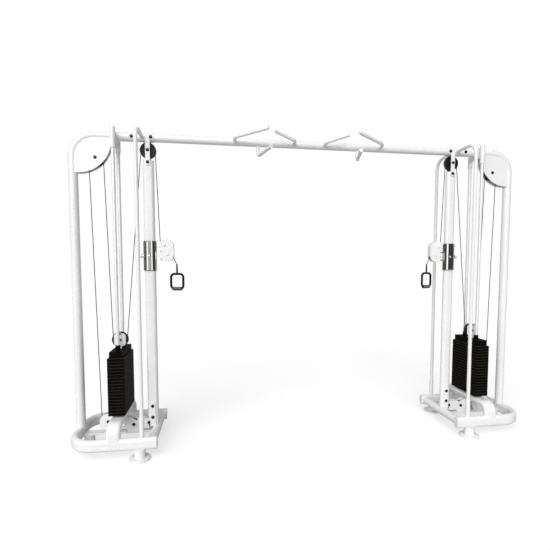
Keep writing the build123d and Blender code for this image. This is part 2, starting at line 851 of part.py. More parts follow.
def handle_strap(side):
    """The webbing neck between the ball on the cable's end and the hand loop."""
    x, top = side * cable_ball[0], cable_ball[1]
    with BuildPart() as neck:
        with Locations((x, 0, (neck_bottom + top) / 2)):
            Box(neck_width, neck_gauge, top - neck_bottom)
        chamfer(neck.edges().filter_by(Axis.Y).group_by(Axis.Z)[0], neck_chamfer)
        # The eye that the hand loop swings round
        with Locations((x, 0, (swing_z + neck_bottom) / 2)):
            Box(2 * eye_radius, neck_gauge, neck_bottom - swing_z)
        with Locations((x, 0, swing_z)):
            Cylinder(eye_radius, neck_gauge, rotation=(90, 0, 0))
        with Locations((x, 0, top)):
            Sphere(ball_radius)
    return neck.part


def hand_loop(side):
    """The rubber-coated loop of a hand grip, with the grip tube round its lower run."""
    turn = radians(handle_turn)
    loop_height = loop_top - loop_bottom
    half_band = band_width / 2
    plane = Plane(
        origin=(side * cable_ball[0], 0, (loop_bottom + loop_top) / 2),
        x_dir=(side * cos(turn), sin(turn), 0),
        z_dir=(sin(turn), -side * cos(turn), 0),
    )
    grip_start = plane.from_local_coords((-grip_length / 2, -loop_height / 2, 0))
    with BuildPart() as loop:
        with BuildSketch(plane):
            RectangleRounded(loop_width + band_width, loop_height + band_width, loop_bend + half_band)
            RectangleRounded(
                loop_width - band_width, loop_height - band_width, loop_bend - half_band, mode=Mode.SUBTRACT
            )
        extrude(amount=band_depth / 2, both=True)
        with BuildSketch(Plane(origin=grip_start, z_dir=plane.x_dir)):
            Circle(grip_radius)
        extrude(amount=grip_length)
    return loop.part


# ---------------------------------------------------------------- pieces and files

pieces = {
    "base_loops": both_sides(lambda side: base_loop(side, tube_wall)),
    "column_tubes": both_sides(drilled_column),
    "base_cross_members": both_sides(cross_members),
    "stack_arches": both_sides(stack_arch),
    "guard_hoops": both_sides(guard_hoop),
    "guide_rods": both_sides(guide_rod_pair),
    "rod_crowns": both_sides(rod_crown),
    "uprights": both_sides(upright),
    "upright_straps": both_sides(strap_set),
    "corner_gussets": both_sides(gusset_pair),
    "base_pulley_plates": both_sides(base_plates),
    "stack_bumpers": both_sides(bumpers),
    "tube_end_caps": both_sides(end_caps),
    "frame_bolts": both_sides(tower_bolts),
    "pull_up_bars": both_sides(pull_up_handles),
    "resting_plates": both_sides(lambda side: weight_plates(side, 0, plate_count - lifted_count)),
}

with BuildPart() as cross_beam:
    add(straight_tube((-beam_splice_x, 0, beam_z), (beam_splice_x, 0, beam_z), beam_od, tube_wall))
    for beam_side in SIDES.values():
        add(beam_bolt_holes(beam_side), mode=Mode.SUBTRACT)
pieces["cross_beam"] = cross_beam.part

with BuildPart() as levelling_feet:
    for foot_side in SIDES.values():
        add(foot(foot_side * foot_x, -arm_y))
        add(foot(foot_side * foot_x, arm_y))
        add(foot(foot_side * outer_foot_x, 0))
pieces["levelling_feet"] = levelling_feet.part

with BuildPart() as cable_fixed:
    for cable_side in SIDES.values():
        add(cable(cable_side, [wrap(TOP)]))
        base_route = [wrap(CORNER), straight(CORNER), wrap(OUTER), straight(OUTER)]
        base_route += [wrap(IDLER), straight(IDLER), wrap(INNER)]
        add(cable(cable_side, base_route))
pieces["cable_fixed"] = cable_fixed.part

large_wheel = (large_rim, large_run, large_width)
small_wheel = (small_rim, small_run, small_width)
wheels = {
    "stack_pulley": (stack_pulley, large_wheel),
    "top_pulley": (top_pulley, large_wheel),
    "corner_pulley": (corner_pulley, large_wheel),
    "base_outer_pulley": (base_outer_pulley, large_wheel),
    "base_idler_pulley": (base_idler_pulley, small_wheel),
    "base_inner_pulley": (base_inner_pulley, small_wheel),
    "upper_carriage_pulley": (upper_carriage_pulley, small_wheel),
    "lower_carriage_pulley": (lower_carriage_pulley, small_wheel),
}

for side_name, tower in SIDES.items():
    pieces[f"lifted_plates_{side_name}"] = weight_plates(tower, plate_count - lifted_count, plate_count)
    pieces[f"head_plate_{side_name}"] = head_plate(tower)
    pieces[f"lift_stem_{side_name}"] = lift_stem(tower)
    pieces[f"selector_pin_{side_name}"] = selector_pin(tower)
    for wheel_name, (center, wheel_size) in wheels.items():
        pieces[f"{wheel_name}_{side_name}"] = pulley(tower, center, *wheel_size)
    pieces[f"carriage_sleeve_{side_name}"] = carriage_sleeve(tower)
    pieces[f"pop_pin_{side_name}"] = pop_pin(tower)
    pieces[f"swivel_housing_{side_name}"] = swivel_housing(tower)
    pieces[f"handle_strap_{side_name}"] = handle_strap(tower)
    pieces[f"hand_loop_{side_name}"] = hand_loop(tower)
    pieces[f"cable_stack_{side_name}"] = cable(tower, [straight(TOP), wrap(STACK), straight(STACK)])
    with BuildPart() as carriage_runs:
        add(cable(tower, [straight(UPPER)]))
        add(cable(tower, [straight(INNER)]))
    pieces[f"cable_carriage_{side_name}"] = carriage_runs.part
    with BuildPart() as tail:
        add(cable(tower, [straight(BALL), wrap(LOWER), straight(LOWER), wrap(UPPER)]))
        with Locations((tower * cable_ball[0], 0, cable_ball[1])):
            Sphere(ball_radius + hole_gap, mode=Mode.SUBTRACT)
    pieces[f"cable_tail_{side_name}"] = tail.part

os.makedirs("parts", exist_ok=True)
for label, piece in pieces.items():
    piece.label = label
    export_step(piece, f"parts/{label}.step")
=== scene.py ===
"""Looks of the cable crossover machine: its finishes, cables, hand grips and small parts.

Metres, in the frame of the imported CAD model. +X runs along the beam, -Y is the user's side.
"""
import json
from math import asin, atan2, copysign, cos, hypot, pi, radians, sin

import bmesh
import bpy
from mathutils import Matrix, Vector


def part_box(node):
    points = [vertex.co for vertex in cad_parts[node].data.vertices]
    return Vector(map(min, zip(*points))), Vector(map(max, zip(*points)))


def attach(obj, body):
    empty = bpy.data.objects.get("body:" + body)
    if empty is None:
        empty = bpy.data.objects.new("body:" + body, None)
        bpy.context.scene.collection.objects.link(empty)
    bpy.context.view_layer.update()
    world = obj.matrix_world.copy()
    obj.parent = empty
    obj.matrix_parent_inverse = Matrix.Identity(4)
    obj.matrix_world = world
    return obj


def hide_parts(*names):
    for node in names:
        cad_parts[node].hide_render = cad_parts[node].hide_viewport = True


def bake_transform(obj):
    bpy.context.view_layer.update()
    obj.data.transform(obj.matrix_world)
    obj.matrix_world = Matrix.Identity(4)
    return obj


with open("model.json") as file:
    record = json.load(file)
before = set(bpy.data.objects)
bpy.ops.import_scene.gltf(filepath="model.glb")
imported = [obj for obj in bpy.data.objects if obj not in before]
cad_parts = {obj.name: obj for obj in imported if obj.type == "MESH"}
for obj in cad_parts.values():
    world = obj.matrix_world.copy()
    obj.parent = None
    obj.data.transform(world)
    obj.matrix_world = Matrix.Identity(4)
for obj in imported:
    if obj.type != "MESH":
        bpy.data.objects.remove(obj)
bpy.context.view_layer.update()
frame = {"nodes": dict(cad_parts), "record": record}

SIDES = {"left": -1, "right": 1}

# ---------------------------------------------------------------- camera, light and floor

CAMERA_PLACE = (-0.7165, -3.0127, 1.3618)
CAMERA_TURN = radians(8.51)
CAMERA_DIP = radians(3.69)
CAMERA_LENS = 25.19
CAMERA_SHIFT = 0.0277
KEY_FROM = (-0.40, -0.92, 0.66)
KEY_STRENGTH = 2.55
KEY_SPREAD = radians(55)
AMBIENT_LEFT_RIGHT = (0.50, 0.33)


def add_camera():
    data = bpy.data.cameras.new("camera")
    data.lens = CAMERA_LENS
    data.sensor_width = 36
    data.shift_y = CAMERA_SHIFT
    camera = bpy.data.objects.new("camera", data)
    camera.location = CAMERA_PLACE
    camera.rotation_euler = (pi / 2 - CAMERA_DIP, 0, -CAMERA_TURN)
    bpy.context.scene.collection.objects.link(camera)
    bpy.context.scene.camera = camera


def add_lights():
    """One broad soft key from the front left, high up."""
    data = bpy.data.lights.new("key", "SUN")
    data.energy = KEY_STRENGTH
    data.angle = KEY_SPREAD
    lamp = bpy.data.objects.new("key", data)
    lamp.rotation_euler = Vector(KEY_FROM).to_track_quat("Z", "Y").to_euler()
    bpy.context.scene.collection.objects.link(lamp)


def add_floor():
    mesh = bpy.data.meshes.new("floor")
    reach = 40
    corners = [(-reach, -reach, 0), (reach, -reach, 0), (reach, reach, 0), (-reach, reach, 0)]
    mesh.from_pydata(corners, [], [(0, 1, 2, 3)])
    floor = bpy.data.objects.new("floor", mesh)
    bpy.context.scene.collection.objects.link(floor)
    paint = Shader("studio_floor", colour=(0.52, 0.52, 0.52), roughness=0.8)
    paint.colour_variation((0.51, 0.51, 0.51), (0.53, 0.53, 0.53), scale=1.5)
    paint.set("Specular IOR Level", 0.1)
    paint.set("Emission Color", (1, 1, 1, 1))
    # The floor looks white but throws little light up at the machine
    seen = paint.node("ShaderNodeLightPath").outputs["Is Camera Ray"]
    paint.drive("Emission Strength", paint.maths("MULTIPLY", seen, 0.56))
    mesh.materials.append(paint.material)


# What polished metal reflects, by compass angle in degrees from straight in front (-Y)
# towards the right (+X): white screens, dark flags beside them, a grey room behind
STUDIO_SCREENS = (
    (-180, 0.50), (-132, 0.46), (-124, 0.03), (-54, 0.03), (-36, 0.22), (-14, 1.25),
    (7, 1.25), (12, 0.045), (86, 0.045), (96, 0.42), (180, 0.50),
)


def add_world():
    """A white studio with dim sides, and screens and flags for the chrome to reflect."""
    world = bpy.data.worlds.new("studio")
    bpy.context.scene.world = world
    world.use_nodes = True
    tree = world.node_tree
    tree.nodes.clear()

    def maths(operation, first, second):
        made = tree.nodes.new("ShaderNodeMath")
        made.operation = operation
        for index, value in enumerate((first, second)):
            if hasattr(value, "is_linked"):
                tree.links.new(value, made.inputs[index])
            else:
                made.inputs[index].default_value = value
        return made.outputs[0]

    def mix(factor, first, second):
        made = tree.nodes.new("ShaderNodeMix")
        made.data_type = "RGBA"
        tree.links.new(factor, made.inputs["Factor"])
        for key, value in (("A", first), ("B", second)):
            if hasattr(value, "is_linked"):
                tree.links.new(value, made.inputs[key])
            else:
                made.inputs[key].default_value = (value, value, value, 1)
        return made.outputs["Result"]

    split = tree.nodes.new("ShaderNodeSeparateXYZ")
    tree.links.new(tree.nodes.new("ShaderNodeTexCoord").outputs["Generated"], split.inputs[0])
    compass = maths("ARCTAN2", split.outputs["X"], maths("MULTIPLY", split.outputs["Y"], -1.0))
    turned = maths("MULTIPLY_ADD", compass, 1 / (2 * pi))
    turned.node.inputs[2].default_value = 0.5
    screens = tree.nodes.new("ShaderNodeValToRGB")
    stops = screens.color_ramp.elements
    for index, (angle, grey) in enumerate(STUDIO_SCREENS):
        position = (angle + 180) / 360
        stop = stops[index] if index < 2 else stops.new(position)
        stop.position = position
        stop.color = (grey, grey, grey, 1)
    tree.links.new(turned, screens.inputs["Fac"])
    sideways = maths("MULTIPLY_ADD", split.outputs["X"], 0.5)
    sideways.node.inputs[2].default_value = 0.5
    ray = tree.nodes.new("ShaderNodeLightPath")
    ambient = mix(sideways, *AMBIENT_LEFT_RIGHT)
    lit = mix(ray.outputs["Is Glossy Ray"], ambient, screens.outputs["Color"])
    seen = mix(ray.outputs["Is Camera Ray"], lit, 1.0)
    sky = tree.nodes.new("ShaderNodeBackground")
    tree.links.new(seen, sky.inputs["Color"])
    end = tree.nodes.new("ShaderNodeOutputWorld")
    tree.links.new(sky.outputs[0], end.inputs["Surface"])
    bpy.context.scene.view_settings.view_transform = "Standard"


# ---------------------------------------------------------------- materials


class Shader:
    """A Principled material with helpers for the textures that drive it."""

    def __init__(self, name, colour, roughness, metallic=0.0, coat=0.0):
        self.material = bpy.data.materials.new(name)
        self.material.use_nodes = True
        self.material.diffuse_color = (*colour, 1)
        self.tree = self.material.node_tree
        self.surface = self.tree.nodes["Principled BSDF"]
        self.set("Base Color", (*colour, 1))
        self.set("Roughness", roughness)
        self.set("Metallic", metallic)
        self.set("Coat Weight", coat)
        self.set("Coat Roughness", 0.08)
        self.place = self.tree.nodes.new("ShaderNodeTexCoord").outputs["Object"]

    def set(self, socket, value):
        self.surface.inputs[socket].default_value = value

    def drive(self, socket, output):
        self.tree.links.new(output, self.surface.inputs[socket])

    def node(self, kind, inputs=(), **settings):
        made = self.tree.nodes.new(kind)
        for key, value in settings.items():
            setattr(made, key, value)
        for key, value in dict(inputs).items():
            if hasattr(value, "is_linked"):
                self.tree.links.new(value, made.inputs[key])
            else:
                made.inputs[key].default_value = value
        return made

    def stretched(self, scale):
        """Object coordinates multiplied along each axis."""
        inputs = {"Vector": self.place, "Scale": scale}
        return self.node("ShaderNodeMapping", inputs).outputs["Vector"]

    def noise(self, scale, detail=3.0, vector=None):
        inputs = {"Vector": vector or self.place, "Scale": scale, "Detail": detail}
        return self.node("ShaderNodeTexNoise", inputs).outputs["Fac"]

    def turned(self, rotation):
        """Object coordinates turned about each axis."""
        inputs = {"Vector": self.place, "Rotation": rotation}
        return self.node("ShaderNodeMapping", inputs).outputs["Vector"]

    def wave(self, scale, distortion, vector):
        inputs = {"Vector": vector, "Scale": scale, "Distortion": distortion}
        return self.node("ShaderNodeTexWave", inputs).outputs["Fac"]

    def maths(self, operation, first, second=0.0):
        return self.node("ShaderNodeMath", {0: first, 1: second}, operation=operation).outputs[0]

    def remap(self, value, low, high, start=0.3, stop=0.7):
        """A value between start and stop spread between low and high."""
        inputs = {"Value": value, "From Min": start, "From Max": stop, "To Min": low, "To Max": high}
        return self.node("ShaderNodeMapRange", inputs).outputs["Result"]

    def mix(self, factor, first, second):
        made = self.node("ShaderNodeMix", {"Factor": factor}, data_type="RGBA")
        for key, value in (("A", first), ("B", second)):
            if hasattr(value, "is_linked"):
                self.tree.links.new(value, made.inputs[key])
            else:
                made.inputs[key].default_value = (*value, 1)
        return made.outputs["Result"]

    def colour_variation(self, first, second, scale, vector=None):
        fac = self.remap(self.noise(scale, vector=vector), 0, 1)
        self.drive("Base Color", self.mix(fac, first, second))

    def roughness_variation(self, low, high, scale, vector=None):
        self.drive("Roughness", self.remap(self.noise(scale, vector=vector), low, high))

    def bump(self, height, strength, distance):
        inputs = {"Height": height, "Strength": strength, "Distance": distance}
        self.drive("Normal", self.node("ShaderNodeBump", inputs).outputs["Normal"])


def powder_coat(name, light, dark):
    """Glossy white powder coat: faint orange peel, uneven tone and a little floor dust."""
    paint = Shader(name, light, 0.24, coat=0.2)
    paint.set("Coat Roughness", 0.22)
    tone = paint.mix(paint.remap(paint.noise(7.0), 0, 1), light, dark)
    height = paint.node("ShaderNodeSeparateXYZ", {0: paint.place}).outputs["Z"]
    low_down = paint.remap(height, 0.30, 0.0, 0.0, 0.25)
    dust = paint.maths("MULTIPLY", low_down, paint.remap(paint.noise(28.0, 6.0), 0, 1))
    paint.drive("Base Color", paint.mix(dust, tone, (0.76, 0.75, 0.73)))
    paint.roughness_variation(0.20, 0.30, 35.0)
    paint.bump(paint.noise(260.0, 2.0), 0.03, 0.0003)
    return paint.material


def polished_chrome(name, colour, rough, marks, metallic=1.0):
    """Hard chrome with fine marks along its length."""
    metal = Shader(name, colour, rough, metallic=metallic)
    along = metal.stretched((420.0, 420.0, 6.0))
    metal.drive("Roughness", metal.remap(metal.noise(1.0, vector=along), rough, rough * 1.5))
    metal.colour_variation(colour, tuple(part * 0.96 for part in colour), 40.0)
    metal.bump(metal.noise(1.0, 2.0, vector=along), marks, 0.0001)
    return metal.material


def plate_steel(name, bottom, top, pitch):
    """Black stack plates, slightly warm, rubbed brown-grey along their edges."""
    steel = Shader(name, (0.007, 0.006, 0.005), 0.5)
    steel.set("Specular IOR Level", 0.03)
    dark, light = (0.0022, 0.0020, 0.0017), (0.0045, 0.0041, 0.0034)
    tone = steel.mix(steel.remap(steel.noise(18.0, 5.0), 0, 1), dark, light)
    height = steel.node("ShaderNodeSeparateXYZ", {0: steel.place}).outputs["Z"]
    turns = steel.maths("DIVIDE", steel.maths("SUBTRACT", height, bottom), pitch)
    from_middle = steel.maths("ABSOLUTE", steel.maths("SUBTRACT", steel.maths("FRACT", turns), 0.49))
    edge = steel.remap(from_middle, 0.0, 1.0, 0.36, 0.46)
    edge = steel.maths("MULTIPLY", edge, steel.maths("LESS_THAN", height, top))
    worn = steel.maths("MULTIPLY", edge, steel.remap(steel.noise(60.0, 6.0), 0.45, 1.0))
    steel.drive("Base Color", steel.mix(worn, tone, (0.048, 0.041, 0.029)))
    steel.roughness_variation(0.42, 0.58, 60.0)
    steel.bump(steel.noise(500.0, 3.0), 0.12, 0.0003)
    return steel.material


def moulded(name, light, dark, roughness, grain=700.0, strength=0.1, specular=0.5):
    """Moulded nylon, plastic or rubber with a fine grain."""
    plastic = Shader(name, light, roughness)
    plastic.set("Specular IOR Level", specular)
    plastic.colour_variation(light, dark, 45.0)
    plastic.roughness_variation(roughness - 0.06, roughness + 0.08, 80.0)
    plastic.bump(plastic.noise(grain, 2.0), strength, 0.0003)
    return plastic.material


def black_oxide(name):
    """Blackened bolt steel, rubbed to metal here and there."""
    steel = Shader(name, (0.01, 0.01, 0.01), 0.38)
    steel.set("Specular IOR Level", 0.4)
    rubbed = steel.remap(steel.noise(220.0, 8.0), 0.0, 0.6, 0.55, 0.75)
    steel.drive("Base Color", steel.mix(rubbed, (0.007, 0.007, 0.008), (0.06, 0.06, 0.06)))
    steel.roughness_variation(0.28, 0.5, 150.0)
    steel.bump(steel.noise(1800.0), 0.1, 0.0002)
    return steel.material


def brushed_steel(name):
    """Turned or brushed plain steel."""
    steel = Shader(name, (0.62, 0.62, 0.62), 0.28, metallic=1.0)
    around = steel.stretched((40.0, 1500.0, 1500.0))
    steel.drive("Roughness", steel.remap(steel.noise(1.0, vector=around), 0.2, 0.42))
    steel.colour_variation((0.60, 0.60, 0.61), (0.72, 0.71, 0.70), 150.0)
    steel.bump(steel.noise(1.0, 3.0, vector=around), 0.06, 0.0002)
    return steel.material


def cable_sheath(name):
    """Dark nylon sheath that lets the lay of the steel rope show through."""
    sheath = Shader(name, (0.075, 0.075, 0.08), 0.34, coat=0.3)
    lay = sheath.wave(95.0, 0.4, sheath.turned((0, radians(35), 0)))
    sheath.drive("Base Color", sheath.mix(lay, (0.055, 0.055, 0.06), (0.13, 0.13, 0.135)))
    sheath.roughness_variation(0.28, 0.42, 120.0)
    sheath.bump(lay, 0.15, 0.0003)
    return sheath.material


def woven_nylon(name):
    """Black webbing in a tight herringbone of bright and matt threads."""
    cloth = Shader(name, (0.014, 0.014, 0.015), 0.68)
    cloth.set("Specular IOR Level", 0.1)
    cloth.set("Sheen Weight", 0.02)
    cloth.set("Sheen Roughness", 0.4)
    warp = cloth.wave(260.0, 0.8, cloth.turned((0.6, 0.78, 0.3)))
    weft = cloth.wave(260.0, 0.8, cloth.turned((0.6, -0.78, 0.3)))
    weave = cloth.maths("MULTIPLY", warp, weft)
    cloth.drive("Base Color", cloth.mix(weave, (0.002, 0.002, 0.0022), (0.009, 0.009, 0.0095)))
    cloth.drive("Roughness", cloth.remap(weave, 0.8, 0.55, 0.0, 1.0))
    cloth.bump(weave, 0.5, 0.0005)
    return cloth.material


# The plates of a weight stack, for the worn line along each plate's edge
PLATE_PITCH = 0.02333
STACK_BOTTOM = 0.277
STACK_TOP = 0.6965

MATERIALS = {
    "white_frame": powder_coat("white_powder_coat", (0.88, 0.88, 0.88), (0.855, 0.855, 0.855)),
    "chrome_rod": polished_chrome("rod_chrome", (0.93, 0.93, 0.93), 0.36, 0.02, metallic=0.35),
    "chrome_sleeve": polished_chrome("sleeve_chrome", (0.90, 0.89, 0.85), 0.045, 0.02),
    "black_steel": plate_steel("stack_steel", STACK_BOTTOM, STACK_TOP, PLATE_PITCH),
    "black_bolt": black_oxide("black_bolt_steel"),
    "pin_steel": brushed_steel("bright_steel"),
    "black_nylon": moulded(
        "pulley_nylon", (0.006, 0.006, 0.007), (0.011, 0.011, 0.012), 0.42, specular=0.22),
    "black_plastic": moulded(
        "black_plastic", (0.010, 0.010, 0.011), (0.016, 0.016, 0.017), 0.46, specular=0.35),
    "white_plastic": moulded(
        "white_plastic", (0.84, 0.84, 0.84), (0.80, 0.80, 0.79), 0.36, strength=0.05),
    "black_rubber": moulded(
        "black_rubber", (0.002, 0.002, 0.002), (0.0045, 0.0045, 0.0045), 0.58, specular=0.10),
    "cable_sheath": cable_sheath("cable_nylon"),
    "webbing": woven_nylon("black_webbing"),
}
GRIP_FOAM = moulded(
    "grip_foam", (0.085, 0.085, 0.088), (0.13, 0.13, 0.133), 0.55, grain=600.0, strength=0.3)


def finish_cad_nodes():
    """Gives each CAD node the finish of its material slot."""
    slots = {part["node"]: part["material_slot"] for part in frame["record"]["subparts"]}
    for node, piece in frame["nodes"].items():
        for holder in piece.material_slots:
            holder.material = MATERIALS[slots[node]]


# ---------------------------------------------------------------- mesh helpers


def add_piece(name, verts, faces, slot, smooth=True, material=None):
    mesh = bpy.data.meshes.new(name)
    mesh.from_pydata([tuple(v) for v in verts], [], faces)
    mesh.update()
    piece = bpy.data.objects.new(name, mesh)
    bpy.context.scene.collection.objects.link(piece)
    mesh.materials.append(material or MATERIALS[slot])
    shaper = bmesh.new()
    shaper.from_mesh(mesh)
    bmesh.ops.recalc_face_normals(shaper, faces=shaper.faces)
    shaper.to_mesh(mesh)
    shaper.free()
    for face in mesh.polygons:
        face.use_smooth = smooth
    return piece


def soften(piece, angle=radians(35)):
    """Smooth shading that keeps edges sharper than an angle."""
    bpy.context.view_layer.objects.active = piece
    piece.select_set(True)
    bpy.ops.object.shade_smooth_by_angle(angle=angle)
    piece.select_set(False)


def rings_to_faces(count, around, closed_ends=True, loop=False):
    """Quads between rings of points, with a cap at each open end."""
    faces = []
    for ring in range(count if loop else count - 1):
        here, after = ring * around, (ring + 1) % count * around
        for k in range(around):
            step = (k + 1) % around
            faces.append((here + k, here + step, after + step, after + k))
    if closed_ends and not loop:
        faces.append(tuple(reversed(range(around))))
        faces.append(tuple(range((count - 1) * around, count * around)))
    return faces


def lathe(centre, axis, profile, around=48):
    """Points and faces of a turned shape: the profile is (along, radius) pairs from one end."""
    turn = Vector(axis).to_track_quat("Z", "Y").to_matrix()
    verts = []
    for along, radius in profile:
        for k in range(around):
            angle = 2 * pi * k / around
            offset = Vector((radius * cos(angle), radius * sin(angle), along))
            verts.append(Vector(centre) + turn @ offset)
    return verts, rings_to_faces(len(profile), around)


def rounded(low, high, radius, edge, steps=5):
    """A lathe profile of a disc or rod with rounded rims."""
    profile = [(low, 0.0001)]
    for k in range(steps + 1):
        angle = pi / 2 * k / steps
        profile.append((low + edge * (1 - cos(angle)), radius - edge * (1 - sin(angle))))
    for k in range(steps + 1):
        angle = pi / 2 * k / steps
        profile.append((high - edge * (1 - sin(angle)), radius - edge * (1 - cos(angle))))
    profile.append((high, 0.0001))
    return profile


def joined(shapes):
    """Several (points, faces) shapes as one."""
    verts, faces = [], []
    for more_verts, more_faces in shapes:
        base = len(verts)
        verts += list(more_verts)
        faces += [tuple(base + k for k in face) for face in more_faces]
    return verts, faces


def swept(path, section, frames, loop=False):
    """A section of (across, up) points carried along a path with a frame at each point."""
    verts = []
    for point, (side_dir, up_dir) in zip(path, frames):
        for across, up in section:
            verts.append(Vector(point) + side_dir * across + up_dir * up)
    return verts, rings_to_faces(len(path), len(section), loop=loop)


def middle(node):
    low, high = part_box(node)
    return (low + high) / 2


# ---------------------------------------------------------------- cables

CABLE_RADIUS = 0.003
# Radius of the cable's centre line round the large and the small pulleys
LARGE_RUN = 0.0504
SMALL_RUN = 0.0304
CABLE_SIDES = 14
SPAN_PARTS = 60
ANCHOR_Z = 1.350
# The ball at the cable's end: how far below the strap's top its middle is, and how far
# above that middle the sheath starts
BALL_DROP = 0.0065
SHEATH_START = 0.005
BALL, LOWER, UPPER, TOP, STACK, CORNER, OUTER, IDLER, INNER = range(9)


def tower_stops(side_name, side):
    """The cable's stops on one tower: an (x, z) place on the right-hand tower, and the cable's
    radius round it, negative where it goes round clockwise as seen from the front."""
    def place(node):
        centre = middle(f"{node}_{side_name}")
        return (side * centre.x, centre.z)

    upright_x = sum(side * corner.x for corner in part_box(f"top_pulley_{side_name}")) / 2
    ball_low, ball_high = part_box(f"handle_strap_{side_name}")
    ball = (side * (ball_low.x + ball_high.x) / 2, ball_high.z - BALL_DROP)
    return [
        (ball, 0),
        (place("lower_carriage_pulley"), -SMALL_RUN),
        (place("upper_carriage_pulley"), SMALL_RUN),
        (place("top_pulley"), -LARGE_RUN),
        (place("stack_pulley"), LARGE_RUN),
        (place("corner_pulley"), -LARGE_RUN),
        (place("base_outer_pulley"), -LARGE_RUN),
        (place("base_idler_pulley"), -SMALL_RUN),
        (place("base_inner_pulley"), -SMALL_RUN),
        ((upright_x, ANCHOR_Z), 0),
    ]


class Route:
    """The straight runs and wraps of one tower's cable."""

    def __init__(self, stops, side):
        self.stops = stops
        self.side = side

    def heading(self, first):
        """The angle of the straight run from a stop to the next."""
        (x1, z1), run1 = self.stops[first]
        (x2, z2), run2 = self.stops[first + 1]
        return atan2(z2 - z1, x2 - x1) - asin((run2 - run1) / hypot(x2 - x1, z2 - z1))

    def touch(self, stop, heading):
        """Where a run at that angle meets the stop's radius."""
        (x, z), run = self.stops[stop]
        return Vector((self.side * (x + run * sin(heading)), 0, z - run * cos(heading)))

    def straight(self, first):
        heading = self.heading(first)
        return self.touch(first, heading), self.touch(first + 1, heading)

    def wrap(self, stop):
        """Points of the arc round a stop, close enough to look round."""
        arriving, leaving = self.heading(stop - 1), self.heading(stop)
        sense = copysign(1, self.stops[stop][1])
        turn = sense * ((leaving - arriving) * sense % (2 * pi))
        parts = max(8, int(abs(turn) / radians(5)))
        return [self.touch(stop, arriving + turn * k / parts) for k in range(parts + 1)]


def rope(path):
    """A round rope along points in the plane of the pulleys."""
    angles = [2 * pi * k / CABLE_SIDES for k in range(CABLE_SIDES)]
    section = [(CABLE_RADIUS * cos(angle), CABLE_RADIUS * sin(angle)) for angle in angles]
    frames = []
    for k in range(len(path)):
        ahead = path[min(k + 1, len(path) - 1)] - path[max(k - 1, 0)]
        frames.append((Vector((0, 1, 0)), ahead.normalized().cross(Vector((0, 1, 0)))))
    return swept(path, section, frames)


def line(start, end, parts=SPAN_PARTS):
    return [start.lerp(end, k / parts) for k in range(parts + 1)]


def stretching_rope(name, start, end, first_body, second_body):
    """A straight cable from start to end, between two bodies that move apart; it is baked in place
    and does not follow them.
    """
    piece = add_piece(name, *rope(line(start, end)), "cable_sheath")
    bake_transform(piece)
    return piece


def add_cables(side_name, side):
    route = Route(tower_stops(side_name, side), side)
    body = {name: f"{name}_{side_name}" for name in ("stack", "carriage", "swivel", "cable_end")}

    over_top = add_piece(f"cable_over_top_{side_name}", *rope(route.wrap(TOP)), "cable_sheath")
    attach(over_top, "frame")
    base_path = route.wrap(CORNER) + line(*route.straight(CORNER))[1:-1] + route.wrap(OUTER)
    base_path += line(*route.straight(OUTER))[1:-1] + route.wrap(IDLER)
    base_path += line(*route.straight(IDLER))[1:-1] + route.wrap(INNER)
    through_base = add_piece(f"cable_through_base_{side_name}", *rope(base_path), "cable_sheath")
    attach(through_base, "frame")
    if side_name == "left":
        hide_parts("cable_fixed")

    down, up = route.straight(TOP), route.straight(STACK)
    stack_in = stretching_rope(f"cable_to_stack_{side_name}", *down, "frame", body["stack"])
    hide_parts(f"cable_stack_{side_name}")
    stretching_rope(f"cable_from_stack_{side_name}", *up, body["stack"], "frame")
    round_stack = add_piece(
        f"cable_round_stack_pulley_{side_name}", *rope(route.wrap(STACK)), "cable_sheath")
    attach(round_stack, body["stack"])

    carriage_in, carriage_out = route.straight(UPPER), route.straight(INNER)
    drop = stretching_rope(f"cable_to_carriage_{side_name}", *carriage_in, body["carriage"], "frame")
    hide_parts(f"cable_carriage_{side_name}")
    stretching_rope(f"cable_to_anchor_{side_name}", *carriage_out, "frame", body["carriage"])

    through = route.wrap(LOWER) + line(*route.straight(LOWER), parts=12)[1:-1] + route.wrap(UPPER)
    swivel_wrap = add_piece(f"cable_through_swivel_{side_name}", *rope(through), "cable_sheath")
    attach(swivel_wrap, body["swivel"])
    ball, leave = route.straight(BALL)
    tail_end = ball + (leave - ball).normalized() * SHEATH_START
    tail = stretching_rope(
        f"cable_tail_{side_name}_run", leave, tail_end, body["swivel"], body["cable_end"])
    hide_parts(f"cable_tail_{side_name}")


# ---------------------------------------------------------------- hand grips

HANDLE_TURN = radians(18)
LOOP_WIDTH, LOOP_BOTTOM, LOOP_TOP = 0.098, 1.184, 1.297
LOOP_BEND = 0.026
BAND_WIDTH, BAND_DEPTH, BAND_EDGE = 0.0165, 0.0130, 0.0045
GRIP_LENGTH, GRIP_RADIUS, GRIP_BORE = 0.072, 0.0145, 0.0085
GRIP_RIBS, RIB_DEPTH, GRIP_STEP = 12, 0.0011, 0.002
COLLAR_RADIUS = 0.0118
NECK_WIDTH, NECK_GAUGE, NECK_EDGE = 0.013, 0.005, 0.0018
NECK_SPANS = 14
BALL_RADIUS = 0.0064


def rounded_band_section(width, depth, edge, steps=4):
    """A strap's cross-section with rounded edges, as (across, up) points."""
    points = []
    for corner, (sx, sy) in enumerate(((1, 1), (-1, 1), (-1, -1), (1, -1))):
        for k in range(steps + 1):
            angle = pi / 2 * (corner + k / steps)
            across = sx * (width / 2 - edge) + edge * cos(angle)
            up = sy * (depth / 2 - edge) + edge * sin(angle)
            points.append((across, up))
    return points


